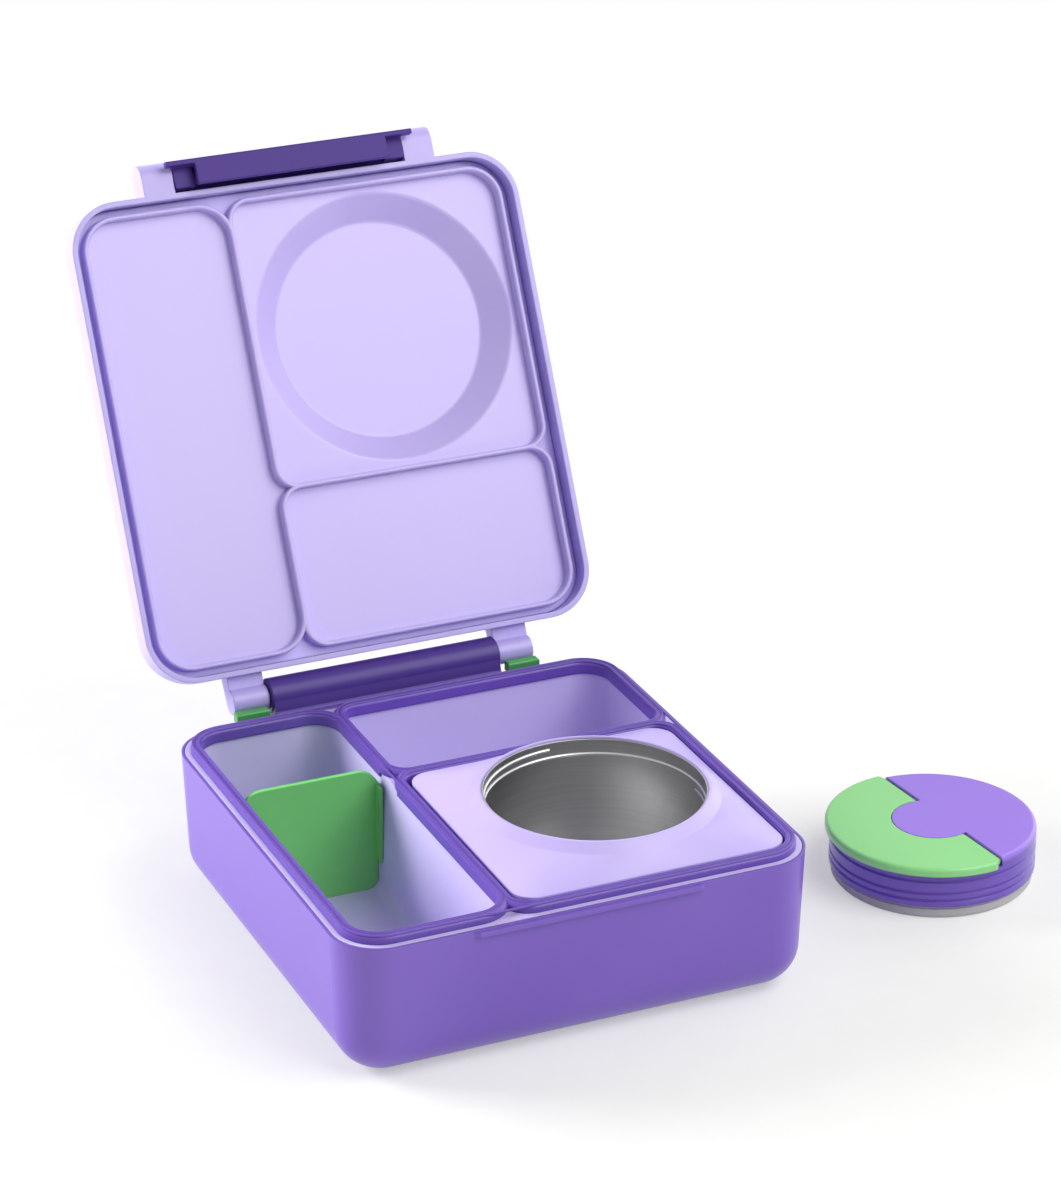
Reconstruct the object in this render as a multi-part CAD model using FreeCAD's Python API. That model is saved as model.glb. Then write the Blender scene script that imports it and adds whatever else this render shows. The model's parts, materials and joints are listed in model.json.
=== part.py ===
import FreeCAD, Part
import math
import os

V = FreeCAD.Vector

# ---------------------------------------------------------------- sizes (mm)
# Overall box
BASE_W = 198.0            # left to right across the shell's top edge
BASE_D = 201.0            # front to back across the shell's top edge
BASE_H = 59.0             # floor to the shell's top edge
CORNER_R = 20.0           # upright corners in plan
FOOT_R = 17.0             # rounding round the underside
DRAFT_IN = 2.2            # how far the walls lean in by the bottom
SHELL_WALL = 2.5
CAVITY_SLOPE = 8.0        # sloped foot of the space inside the shell
LIP_T = 1.2               # shell lip that shows outside the liner
LIP_H = 3.0               # flange seat below the top edge

# Liner and its three wells
STRIP_W = 3.6             # shell edge to the seal bead
BEAD_W = 4.5
BEAD_H = 3.5
BEAD_SLOPE = 1.2          # sloped top edges of the bead
SKIRT_T = 0.8             # seal skin hanging into each well
SKIRT_H = 2.0
TONGUE_W = 1.2
TONGUE_H = 1.8
LINER_T = 2.0
TUB_SLOPE = 4.8           # sloped foot of the liner's outer side
WELL_FLOOR_Z = 6.5
WELL_FOOT_R = 5.0
WELL_R_OUT = 12.0         # well corners that follow the box corners
WELL_R_IN = 7.0           # well corners at the inner junctions
JAR_WELL = 117.6          # square well that takes the jar

# Hinge
HINGE_BEHIND = 11.0       # hinge axis behind the shell's back edge
HINGE_ABOVE = 5.0         # hinge axis above the shell's top edge
BARREL_R = 7.5
BARREL_HALF = 51.5
EAR_X0 = 52.0
EAR_X1 = 67.5
EAR_BOSS_R = 5.2
EAR_SKIN = 2.5            # closed outer end of the pin holes
EAR_ARM_H = 7.5
HINGE_PIN_R = 2.2
PIN_INNER_X = 38.0        # inner end of the pin holes in the bar
PIN_SLACK = 0.2           # end play of every pin
RUN_FIT = 0.05            # radial clearance of pins
WEB_FOOT = 17.0           # foot of the bar's web below the shell's top edge
WEB_TOP = 1.2             # top of the web's joint below that edge
OPEN_ANGLE = 117.15

# Release buttons behind the shell
BUTTON_X = 61.0
BUTTON_W = 14.4
BUTTON_Y_OUT = 3.1        # button centre behind the shell's back edge
BUTTON_DEEP = 4.4
BUTTON_TOP_Z = 62.8
BUTTON_HEAD_H = 4.3
BUTTON_TRAVEL = 2.5
BUTTON_ROUND = 1.0
BUTTON_GAP = 0.35         # ear above the button, lid closed
STEM_R = 2.6
STEM_FIT = 0.1
BRACKET_HALF = 7.5
BRACKET_BEHIND = 4.6      # bracket past the button's centre
BRACKET_FOOT = 2.5        # solid foot under the spring
BRACKET_ROUND = 2.0
SPRING_COIL_R = 1.9
SPRING_WIRE_R = 0.3
SPRING_TURNS = 3
SPRING_H = 8.0
SPRING_Z = 40.5

# Catch for the latch
CATCH_HALF = 46.0
CATCH_OUT = 1.6
CATCH_Z = 56.4
CATCH_H = 2.0
CATCH_TAPER = 4.0         # each end of the ledge

# Lid
LID_OVER_W = 1.0          # lid beyond the shell, each side
LID_OVER_D = 0.5          # lid beyond the shell, front and back
LID_GAP = 0.3             # rim plane above the shell's top edge
LID_H = 28.0
LID_R = 21.0
LID_TOP_R = 20.0
LID_RIM = 2.3
PANEL_Z = 8.7             # panel floor above the rim plane
PANEL_T = 2.0
RIB_W = 2.0
RIB_SLOPE = 0.6
RIB_TIP_Z = 3.4           # rib tip above the rim plane
RECESS_IN_WELL = 1.8      # recess rim to the line of the jar's well
RECESS_SLOPE = 10.75      # how far its wall leans in by the floor
RECESS_Z = 17.6
PANEL_ROUND = 2.0         # rims and foot of the recess
LID_EAR_ROOT = 1.8        # how far the ears reach into the lid's wall
LID_STEP = 1.4            # seat of the inner panel inside the wall
LID_HOLLOW_R = 14.0
FRONT_EAR_X0 = 51.5
FRONT_EAR_X1 = 65.0
LATCH_OUT = 6.0           # latch axis in front of the lid's edge
LATCH_UP = 6.5            # latch axis above the rim plane
FRONT_EAR_R = 6.5
FRONT_EAR_OUT = 7.5       # round end of the front ears in front of the lid's edge

# Latch
LATCH_R = 5.5
LATCH_HALF = 51.2
LATCH_WALL = 2.2
LATCH_DROP = 5.7          # lower edge under the rim plane
LATCH_LIP_HALF = 42.6
LATCH_FLANGE_HALF = 54.9
LATCH_REST = 7.0          # degrees off the snapped position
LATCH_FLANGE_H = 3.5
LATCH_LIP_T = 2.2
LATCH_LIP_REACH = 0.8     # lip's tip in front of the shell's front edge
LATCH_ROUND = 0.9
LATCH_BORE_X = 40.0
LATCH_PIN_R = 1.5

# Divider
DIVIDER_Y = 38.0
DIVIDER_T = 2.0
DIVIDER_TOP = 60.5
DIVIDER_WING = 11.0
DIVIDER_GAP = 0.3
DIVIDER_CORNER = 9.0      # round top corners of the plate
WING_T = 1.6
WING_FOOT_Z = 20.0
WING_BELOW_TOP = 7.0

# Jar
JAR_IN_WELL = 2.8         # jar wall to the side of its well
JAR_T = 0.8
JAR_SHOULDER = 52.5       # outer wall height
JAR_FOOT_R = 5.0
JAR_GROOVE_Z = 13.2
JAR_MOUTH_IN = 11.0       # mouth narrower than the jar, each side
JAR_BOWL_Z = 7.0
JAR_BOWL_R = 8.2
JAR_BOWL_SLOPE = 5.0
JAR_BASE_IN = 14.0        # opening under the outer wall, from its side
JAR_BASE_LAP = 4.0        # base plate's hold inside that opening
COLLAR_IN_WELL = 1.3      # collar to the side of the well
COLLAR_R = 9.5
COLLAR_EDGE = 55.5
COLLAR_SKIRT = 12.0
COLLAR_MID_OUT = 5.0      # round shoulder outside the mouth
COLLAR_MID = 62.0
COLLAR_TOP = 65.4
COLLAR_T = 1.8
COLLAR_SKIRT_T = 1.2

# Cap, standing beside the box
CAP_X = 187.0
CAP_Y = -31.0
CAP_BODY_R = 42.6
CAP_H = 24.0
CAP_EDGE = 1.8            # rounding round the top
CAP_GROOVES = (2.8, 6.0, 11.6)  # grooves round the side, above the gasket
CAP_GROOVE_W = 0.9
CAP_GROOVE_T = 0.7
CAP_WALL = 2.2
CAP_GASKET_H = 5.6
CAP_GASKET_IN = 1.0       # gasket smaller than the cap, each side
CAP_CORE_R = 36.0
CAP_RECESS = 3.8
HANDLE_T = 3.6
HANDLE_ROUND = 1.5
HANDLE_OVER = 2.0         # handle beyond the cap's side
HANDLE_CORNER = 3.0       # rounding of the handle's two ends
HANDLE_EDGE = 4.6         # straight edge of the handle past the centre
HANDLE_TURN = 5.96        # degrees the handle is turned
HANDLE_AXIS = 2.8
HUB_R = 17.0
HANDLE_PIN_R = 1.0
HANDLE_PIN_DOWN = 1.9     # pin's axis below the cap's top
HANDLE_PIN_X0 = 12.0
HANDLE_PIN_LEN = 24.0
HANDLE_KNUCKLE_R = 1.7
HANDLE_FIT = 0.3

# Places that follow from the sizes above
HALF_W = BASE_W / 2.0
HALF_D = BASE_D / 2.0
RIM_Z = BASE_H + LID_GAP
HINGE_Y = HALF_D + HINGE_BEHIND
HINGE_Z = BASE_H + HINGE_ABOVE
LID_HALF_W = HALF_W + LID_OVER_W
LID_HALF_D = HALF_D + LID_OVER_D
LATCH_Y = -LID_HALF_D - LATCH_OUT
LATCH_Z = RIM_Z + LATCH_UP
WELL_X = HALF_W - STRIP_W - BEAD_W
WELL_Y = HALF_D - STRIP_W - BEAD_W
RECESS_R0 = JAR_WELL / 2.0 - RECESS_IN_WELL
RECESS_R1 = RECESS_R0 - RECESS_SLOPE
JAR_R = JAR_WELL / 2.0 - JAR_IN_WELL
JAR_MOUTH_R = JAR_R - JAR_MOUTH_IN
JAR_RIM = COLLAR_TOP - 0.7
COLLAR_HALF = JAR_WELL / 2.0 - COLLAR_IN_WELL
COLLAR_MID_R = JAR_MOUTH_R + COLLAR_MID_OUT
JAR_X = WELL_X - JAR_WELL / 2.0
JAR_Y = -WELL_Y + JAR_WELL / 2.0
SPLIT_X = WELL_X - JAR_WELL - BEAD_W / 2.0
SPLIT_Y = -WELL_Y + JAR_WELL + BEAD_W / 2.0
JAR_Z = WELL_FLOOR_Z


# ---------------------------------------------------------------- helpers
def region(x0, x1, y0, y1, radii):
    """A rounded rectangle; radii run front-left, front-right, back-right, back-left."""
    return (x0, x1, y0, y1, radii)


def grow(area, d):
    x0, x1, y0, y1, radii = area
    return (x0 - d, x1 + d, y0 - d, y1 + d, tuple(max(r + d, 0.6) for r in radii))


def outline(area, z):
    """Closed wire of lines and quarter arcs at height z."""
    x0, x1, y0, y1, radii = area
    fl, fr, br, bl = radii
    corners = [
        (x1, y0, fr, -1, 1),
        (x1, y1, br, -1, -1),
        (x0, y1, bl, 1, -1),
        (x0, y0, fl, 1, 1),
    ]
    turns = []
    for i, (cx, cy, r, sx, sy) in enumerate(corners):
        centre = V(cx + sx * r, cy + sy * r, z)
        start = math.radians(-90 + 90 * i)
        pts = []
        for a in (start, start + math.pi / 4, start + math.pi / 2):
            pts.append(centre + V(r * math.cos(a), r * math.sin(a), 0))
        turns.append(pts)
    edges = []
    for i in range(4):
        here = turns[i]
        after = turns[(i + 1) % 4]
        edges.append(Part.Arc(here[0], here[1], here[2]).toShape())
        edges.append(Part.makeLine(here[2], after[0]))
    return Part.Wire(edges)


def prism(area, z0, z1):
    face = Part.Face(outline(area, z0))
    return face.extrude(V(0, 0, z1 - z0))


def tapered(low, z0, high, z1):
    return Part.makeLoft([outline(low, z0), outline(high, z1)], True, True)


def box(x0, x1, y0, y1, z0, z1):
    return Part.makeBox(x1 - x0, y1 - y0, z1 - z0, V(x0, y0, z0))


def rod_x(x0, x1, y, z, r):
    return Part.makeCylinder(r, x1 - x0, V(x0, y, z), V(1, 0, 0))


def rod_z(x, y, z0, z1, r):
    return Part.makeCylinder(r, z1 - z0, V(x, y, z0), V(0, 0, 1))


def slab_x(x0, x1, points):
    """A flat profile of (y, z) points drawn out along X."""
    ring = [V(x0, y, z) for y, z in points]
    ring.append(ring[0])
    return Part.Face(Part.makePolygon(ring)).extrude(V(x1 - x0, 0, 0))


def spun(points, x, y, z):
    """A profile of (radius, height) points turned about a vertical axis."""
    ring = [V(r, 0, h) for r, h in points]
    ring.append(ring[0])
    solid = Part.Face(Part.makePolygon(ring)).revolve(V(0, 0, 0), V(0, 0, 1), 360)
    solid.translate(V(x, y, z))
    return solid


def groove_round(radius, z, half_width, depth):
    """Cutter for a shallow groove with sloping sides round a drum."""
    return spun([
        (radius - depth, z - half_width / 3),
        (radius + 1.0, z - half_width * 1.6),
        (radius + 1.0, z + half_width * 1.6),
        (radius - depth, z + half_width / 3),
    ], 0, 0, 0)


def level_edges(shape, z):
    picked = []
    for edge in shape.Edges:
        b = edge.BoundBox
        if abs(b.ZMin - z) < 1e-4 and abs(b.ZMax - z) < 1e-4:
            picked.append(edge)
    return picked


def round_level(shape, z, radius):
    return shape.makeFillet(radius, level_edges(shape, z))


def slope_level(shape, z, size):
    return shape.makeChamfer(size, level_edges(shape, z))


def fuse_all(shapes):
    return shapes[0].multiFuse(shapes[1:]).removeSplitter()


def mirrored(shape):
    return shape.mirror(V(0, 0, 0), V(1, 0, 0))


def opened(shape):
    """From the closed lid's place to the open one."""
    turned = shape.copy()
    turned.rotate(V(0, HINGE_Y, HINGE_Z), V(1, 0, 0), -OPEN_ANGLE)
    return turned


def latch_swing(shape, degrees):
    turned = shape.copy()
    turned.rotate(V(0, LATCH_Y, LATCH_Z), V(1, 0, 0), -degrees)
    return turned


# ---------------------------------------------------------------- the wells
def long_well():
    r = WELL_R_OUT
    return region(-WELL_X, SPLIT_X - BEAD_W / 2.0, -WELL_Y, WELL_Y, (r, r, r, r))


def jar_well():
    r = WELL_R_IN
    x0 = SPLIT_X + BEAD_W / 2.0
    y1 = SPLIT_Y - BEAD_W / 2.0
    return region(x0, WELL_X, -WELL_Y, y1, (r, WELL_R_OUT, r, r))


def small_well():
    r = WELL_R_IN
    x0 = SPLIT_X + BEAD_W / 2.0
    y0 = SPLIT_Y + BEAD_W / 2.0
    return region(x0, WELL_X, y0, WELL_Y, (r, r, WELL_R_OUT, r))


def well_space(area):
    """Room inside one well: leaning sides below the straight seat of the seal skin."""
    seat = BASE_H - SKIRT_H
    lean = DRAFT_IN * (seat - WELL_FLOOR_Z) / BASE_H
    high = grow(area, SKIRT_T)
    space = tapered(grow(area, SKIRT_T - lean), WELL_FLOOR_Z, high, seat)
    space = round_level(space, WELL_FLOOR_Z, WELL_FOOT_R)
    return space.fuse(prism(high, seat, BASE_H + 1)).removeSplitter()


def junction_notch(z0, z1):
    """Where the long well's band gives way to the two rounded corners beside it."""
    reach = WELL_R_IN + BEAD_W / 2.0
    half = BEAD_W / 2.0 + 0.01
    return box(SPLIT_X - half, SPLIT_X + half, SPLIT_Y - reach, SPLIT_Y + reach, z0, z1)


def band(area, inner, outer, z0, z1, slope_z=None, slope=0.0):
    ring = prism(grow(area, outer), z0, z1).cut(prism(grow(area, inner), z0, z1))
    if slope_z is not None:
        ring = slope_level(ring, slope_z, slope)
    return ring


def band_net(inner, outer, z0, z1, slope_z=None, slope=0.0):
    """The same band laid round all three wells and joined."""
    square = band(jar_well(), inner, outer, z0, z1, slope_z, slope)
    small = band(small_well(), inner, outer, z0, z1, slope_z, slope)
    long = band(long_well(), inner, outer, z0, z1, slope_z, slope)
    long = long.cut(junction_notch(z0 - 1, z1 + 1))
    return fuse_all([square, small, long])


# ---------------------------------------------------------------- base parts
def base_region(inset):
    r = CORNER_R - inset
    w = HALF_W - inset
    d = HALF_D - inset
    return region(-w, w, -d, d, (r, r, r, r))


def leaning(inset):
    """The same outline where the leaning walls meet the floor."""
    return base_region(inset + DRAFT_IN)


def back_wall_y(z):
    """Where the leaning back wall's outer face stands at height z."""
    return HALF_D - DRAFT_IN * (1.0 - z / BASE_H)


def shell_volume():
    body = tapered(leaning(0), 0.0, base_region(0), BASE_H)
    return round_level(body, 0.0, FOOT_R)


def release_bracket(side):
    """Block behind the shell that houses one release button and its spring."""
    x = side * BUTTON_X
    top = BUTTON_TOP_Z - BUTTON_HEAD_H - BUTTON_TRAVEL - PIN_SLACK
    y = HALF_D + BUTTON_Y_OUT
    y1 = y + BRACKET_BEHIND
    block = box(x - BRACKET_HALF, x + BRACKET_HALF, HALF_D - 4.0, y1, SPRING_Z - BRACKET_FOOT, top)
    upright = [e for e in block.Edges if e.BoundBox.ZLength > 5 and e.BoundBox.YMin > y]
    return block.makeFillet(BRACKET_ROUND, upright)


def make_outer_shell():
    body = shell_volume()
    catch = slab_catch()
    brackets = [release_bracket(s) for s in (-1, 1)]
    body = fuse_all([body, catch] + brackets)
    cavity = tapered(leaning(SHELL_WALL), SHELL_WALL, base_region(SHELL_WALL), BASE_H)
    cavity = slope_level(cavity, SHELL_WALL, CAVITY_SLOPE)
    body = body.cut(cavity)
    body = body.cut(prism(base_region(LIP_T), BASE_H - LIP_H, BASE_H + 1))
    for side in (-1, 1):
        x = side * BUTTON_X
        y = HALF_D + BUTTON_Y_OUT
        body = body.cut(rod_z(x, y, SPRING_Z, BASE_H + 5, STEM_R + STEM_FIT))
    return body


def slab_catch():
    """Ledge under the front edge with tapered ends."""
    y0 = -HALF_D - CATCH_OUT
    y1 = -HALF_D + 1.5
    pts = [
        V(-CATCH_HALF, y0, CATCH_Z),
        V(CATCH_HALF, y0, CATCH_Z),
        V(CATCH_HALF + CATCH_TAPER, y1, CATCH_Z),
        V(-CATCH_HALF - CATCH_TAPER, y1, CATCH_Z),
        V(-CATCH_HALF, y0, CATCH_Z),
    ]
    return Part.Face(Part.makePolygon(pts)).extrude(V(0, 0, CATCH_H))


def make_hinge_barrel():
    """Bar behind the lid, with its apron and the web that carries it on the shell's back."""
    bar = rod_x(-BARREL_HALF, BARREL_HALF, HINGE_Y, HINGE_Z, BARREL_R)
    bar = bar.makeChamfer(0.6, [e for e in bar.Edges if e.BoundBox.XLength < 0.01])
    low = BASE_H - WEB_FOOT
    high = BASE_H - WEB_TOP
    lip_y = HALF_D + 0.6
    web = slab_x(-BARREL_HALF + 0.6, BARREL_HALF - 0.6, [
        (back_wall_y(low), low),
        (HALF_D + 2.0, low),
        (HINGE_Y + 4.0, HINGE_Z - 5.0),
        (HINGE_Y, HINGE_Z),
        (HINGE_Y - BARREL_R + 0.3, HINGE_Z + 1.4),
        (HINGE_Y - BARREL_R - 1.4, RIM_Z + 0.9),
        (lip_y, RIM_Z - 0.7),
        (lip_y, high),
        (back_wall_y(high), high),
    ])
    body = bar.fuse(web).removeSplitter()
    for side in (-1, 1):
        bore = rod_x(PIN_INNER_X, BARREL_HALF + 1, HINGE_Y, HINGE_Z, HINGE_PIN_R + RUN_FIT)
        body = body.cut(bore if side > 0 else mirrored(bore))
    return body


def make_hinge_pin(side):
    pin = rod_x(PIN_INNER_X + PIN_SLACK, EAR_X1 - EAR_SKIN - PIN_SLACK, HINGE_Y, HINGE_Z, HINGE_PIN_R)
    return pin if side > 0 else mirrored(pin)


def liner_region(extra):
    r = WELL_R_OUT + extra
    return region(-WELL_X - extra, WELL_X + extra, -WELL_Y - extra, WELL_Y + extra, (r, r, r, r))


def make_inner_liner():
    grown = SKIRT_T + LINER_T
    under = WELL_FLOOR_Z - LINER_T
    lean = DRAFT_IN * (BASE_H - under) / BASE_H
    tub = tapered(liner_region(grown - lean), under, liner_region(grown), BASE_H)
    tub = slope_level(tub, under, TUB_SLOPE)
    flange = prism(base_region(LIP_T + 0.2), BASE_H - LIP_H, BASE_H)
    body = tub.fuse(flange).removeSplitter()
    for area in (long_well(), jar_well(), small_well()):
        body = body.cut(well_space(area))
    half = TONGUE_W / 2.0
    mid = BEAD_W / 2.0
    groove = band_net(mid - half, mid + half, BASE_H - TONGUE_H - 0.2, BASE_H + 0.5)
    return body.cut(groove)


def make_seal_gasket():
    top = BASE_H + BEAD_H
    mid = BEAD_W / 2.0
    half = TONGUE_W / 2.0
    bead = band_net(0.0, BEAD_W, BASE_H, top, top, BEAD_SLOPE)
    tongue = band_net(mid - half, mid + half, BASE_H - TONGUE_H, BASE_H)
    skirts = band_net(0.0, SKIRT_T, BASE_H - SKIRT_H, BASE_H)
    return fuse_all([bead, tongue, skirts])


def make_divider():
    """Plate across the long well with a wing at each end."""
    area = long_well()
    seat = BASE_H - SKIRT_H
    lean = DRAFT_IN * (seat - WELL_FLOOR_Z) / BASE_H
    inset = SKIRT_T - DIVIDER_GAP
    space = tapered(grow(area, inset - lean), WELL_FLOOR_Z, grow(area, inset), seat)
    space = round_level(space, WELL_FLOOR_Z, WELL_FOOT_R)
    space = space.fuse(prism(grow(area, -DIVIDER_GAP), seat, DIVIDER_TOP + 1)).removeSplitter()
    x0 = area[0] + DIVIDER_GAP
    x1 = area[1] - DIVIDER_GAP
    plate = box(x0, x1, DIVIDER_Y - DIVIDER_T / 2, DIVIDER_Y + DIVIDER_T / 2, 0, DIVIDER_TOP)
    top = [e for e in plate.Edges if e.BoundBox.YLength > 1 and e.BoundBox.YLength < 3]
    top = [e for e in top if e.BoundBox.ZMin > DIVIDER_TOP - 1]
    plate = plate.makeFillet(DIVIDER_CORNER, top)
    wings = []
    for xa in (x0, x1 - WING_T):
        y0 = DIVIDER_Y - DIVIDER_WING / 2
        wings.append(box(xa, xa + WING_T, y0, y0 + DIVIDER_WING, WING_FOOT_Z, DIVIDER_TOP - WING_BELOW_TOP))
    return fuse_all([plate] + wings).common(space)


def make_release_button(side):
    x = side * BUTTON_X
    y = HALF_D + BUTTON_Y_OUT
    z1 = BUTTON_TOP_Z
    z0 = z1 - BUTTON_HEAD_H
    half = BUTTON_DEEP / 2
    head = box(x - BUTTON_W / 2, x + BUTTON_W / 2, y - half, y + half, z0, z1)
    head = head.makeFillet(BUTTON_ROUND, level_edges(head, z1))
    stem = rod_z(x, y, SPRING_Z + SPRING_H, z0 + 1.0, STEM_R)
    return head.fuse(stem).removeSplitter()


def make_release_spring(side):
    pitch = (SPRING_H - 2 * SPRING_WIRE_R) / SPRING_TURNS
    run = Part.makeHelix(pitch, SPRING_H - 2 * SPRING_WIRE_R, SPRING_COIL_R)
    r0 = SPRING_COIL_R - SPRING_WIRE_R
    r1 = SPRING_COIL_R + SPRING_WIRE_R
    w = SPRING_WIRE_R
    wire = Part.makePolygon([V(r0, 0, -w), V(r1, 0, -w), V(r1, 0, w), V(r0, 0, w), V(r0, 0, -w)])
    coil = Part.Wire(run.Edges).makePipeShell([wire], True, True)
    coil.translate(V(side * BUTTON_X, HALF_D + BUTTON_Y_OUT, SPRING_Z + SPRING_WIRE_R))
    return coil


# ---------------------------------------------------------------- lid parts
def lid_region(inset):
    r = LID_R - inset
    w = LID_HALF_W - inset
    d = LID_HALF_D - inset
    return region(-w, w, -d, d, (r, r, r, r))


def front_ear(side):
    y0 = -LID_HALF_D - FRONT_EAR_OUT
    y1 = -LID_HALF_D + LID_EAR_ROOT
    z0 = LATCH_Z - FRONT_EAR_R
    arm = box(FRONT_EAR_X0, FRONT_EAR_X1, y0, y1, z0, z0 + 2 * FRONT_EAR_R)
    end = rod_x(FRONT_EAR_X0, FRONT_EAR_X1, y0, LATCH_Z, FRONT_EAR_R)
    ear = arm.fuse(end).removeSplitter()
    return ear if side > 0 else mirrored(ear)


def rear_ear(side):
    y0 = LID_HALF_D - LID_EAR_ROOT
    under = BUTTON_TOP_Z + BUTTON_GAP
    ear = slab_x(EAR_X0, EAR_X1, [
        (y0, under),
        (HINGE_Y - EAR_BOSS_R + 0.1, under),
        (HINGE_Y, HINGE_Z),
        (HINGE_Y, HINGE_Z + EAR_BOSS_R),
        (y0, under + EAR_ARM_H),
    ])
    ear = ear.fuse(rod_x(EAR_X0, EAR_X1, HINGE_Y, HINGE_Z, EAR_BOSS_R)).removeSplitter()
    return ear if side > 0 else mirrored(ear)


def make_lid_cover():
    """Outer lid skin with its front and rear ears, drawn closed."""
    body = prism(lid_region(0), RIM_Z, RIM_Z + LID_H)
    body = round_level(body, RIM_Z + LID_H, LID_TOP_R)
    parts = [body]
    for side in (-1, 1):
        parts.append(front_ear(side))
        parts.append(rear_ear(side))
    body = fuse_all(parts)
    seat = RIM_Z + PANEL_Z + PANEL_T
    body = body.cut(prism(lid_region(LID_RIM), RIM_Z - 1, seat))
    upper = prism(lid_region(LID_RIM + LID_STEP), seat - 1, RIM_Z + LID_H - SHELL_WALL)
    upper = round_level(upper, RIM_Z + LID_H - SHELL_WALL, LID_HOLLOW_R)
    body = body.cut(upper)
    for side in (-1, 1):
        front = rod_x(FRONT_EAR_X0 - 1, FRONT_EAR_X1 - EAR_SKIN, LATCH_Y, LATCH_Z, LATCH_PIN_R + RUN_FIT / 2)
        rear = rod_x(EAR_X0 - 1, EAR_X1 - EAR_SKIN, HINGE_Y, HINGE_Z, HINGE_PIN_R + RUN_FIT)
        for bore in (front, rear):
            body = body.cut(bore if side > 0 else mirrored(bore))
    return body


def make_lid_inner_panel():
    """Moulded inner face: floor, ribs over the seal and the jar recess, drawn closed."""
    z0 = RIM_Z + PANEL_Z
    plate = prism(lid_region(LID_RIM + 0.2), z0, z0 + PANEL_T)
    deep = RIM_Z + RECESS_Z
    cup = spun([
        (0, z0),
        (RECESS_R0 + 1.6, z0),
        (RECESS_R1 + 1.6, deep + PANEL_T),
        (0, deep + PANEL_T),
    ], JAR_X, JAR_Y, 0)
    hollow = spun([
        (0, z0 - 1),
        (RECESS_R0 + 1.0, z0 - 1),
        (RECESS_R0, z0),
        (RECESS_R1, deep),
        (0, deep),
    ], JAR_X, JAR_Y, 0)
    body = plate.fuse(cup).removeSplitter().cut(hollow)
    rings = []
    for edge in body.Edges:
        b = edge.BoundBox
        if abs(b.ZMin - z0) < 1e-4 and abs(b.ZMax - z0) < 1e-4 and edge.Closed:
            rings.append(edge)
        if abs(b.ZMin - deep) < 1e-4 and abs(b.ZMax - deep) < 1e-4:
            rings.append(edge)
    body = body.makeFillet(PANEL_ROUND, rings)
    mid = BEAD_W / 2.0
    half = RIB_W / 2.0
    tip = RIM_Z + RIB_TIP_Z
    ribs = band_net(mid - half, mid + half, tip, z0 + 0.5, tip, RIB_SLOPE)
    return body.fuse(ribs).removeSplitter()


def make_latch():
    """Front latch with its hook lip, drawn snapped on the closed lid."""
    lower = RIM_Z - LATCH_DROP
    face = LATCH_Y - LATCH_R
    back = face + LATCH_WALL
    half = LATCH_HALF
    parts = [rod_x(-half, half, LATCH_Y, LATCH_Z, LATCH_R)]
    parts.append(box(-half, half, face, back, lower, LATCH_Z))
    flange = LATCH_FLANGE_HALF
    parts.append(box(-flange, flange, face, back, lower, lower + LATCH_FLANGE_H))
    lip = LATCH_LIP_HALF
    tip = -HALF_D - LATCH_LIP_REACH
    parts.append(box(-lip, lip, back - 0.2, tip, lower, lower + LATCH_LIP_T))
    for side in (-1, 1):
        x0 = lip if side > 0 else -half
        parts.append(box(x0, x0 + half - lip, back - 0.2, -LID_HALF_D - 0.8, RIM_Z - 0.3, LATCH_Z - 2))
    body = fuse_all(parts)
    outer = [e for e in level_edges(body, lower) if e.BoundBox.YMax < back - 0.5]
    body = body.makeFillet(LATCH_ROUND, outer)
    for side in (-1, 1):
        bore = rod_x(LATCH_BORE_X, half + 1, LATCH_Y, LATCH_Z, LATCH_PIN_R + RUN_FIT)
        body = body.cut(bore if side > 0 else mirrored(bore))
    return latch_swing(body, LATCH_REST)


def make_latch_pin(side):
    pin = rod_x(LATCH_BORE_X + PIN_SLACK, FRONT_EAR_X1 - EAR_SKIN - PIN_SLACK, LATCH_Y, LATCH_Z, LATCH_PIN_R)
    return pin if side > 0 else mirrored(pin)


# ---------------------------------------------------------------- jar parts
def make_jar_outer_wall():
    r = JAR_R
    t = JAR_T
    f = JAR_FOOT_R
    outer = spun([(0, 0), (r, 0), (r, JAR_SHOULDER), (0, JAR_SHOULDER)], 0, 0, 0)
    outer = round_level(outer, 0, f)
    outer = slope_level(outer, JAR_SHOULDER, 1.0)
    c = f * 0.5
    inner = spun([
        (0, t),
        (r - t - c, t),
        (r - t, t + c),
        (r - t, JAR_SHOULDER - t - 1.0),
        (r - t - 1.0, JAR_SHOULDER - t),
        (0, JAR_SHOULDER - t),
    ], 0, 0, 0)
    body = outer.cut(inner)
    body = body.cut(groove_round(r, JAR_GROOVE_Z, 0.9, 0.45))
    body = body.cut(rod_z(0, 0, -1, t + 1, r - JAR_BASE_IN))
    body = body.cut(rod_z(0, 0, JAR_SHOULDER - 2, JAR_SHOULDER + 1, JAR_MOUTH_R - 0.05))
    body.translate(V(JAR_X, JAR_Y, JAR_Z))
    return body


def make_jar_base():
    plate = rod_z(0, 0, JAR_T, 2 * JAR_T, JAR_R - JAR_BASE_IN + JAR_BASE_LAP)
    plate.translate(V(JAR_X, JAR_Y, JAR_Z))
    return plate


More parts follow.
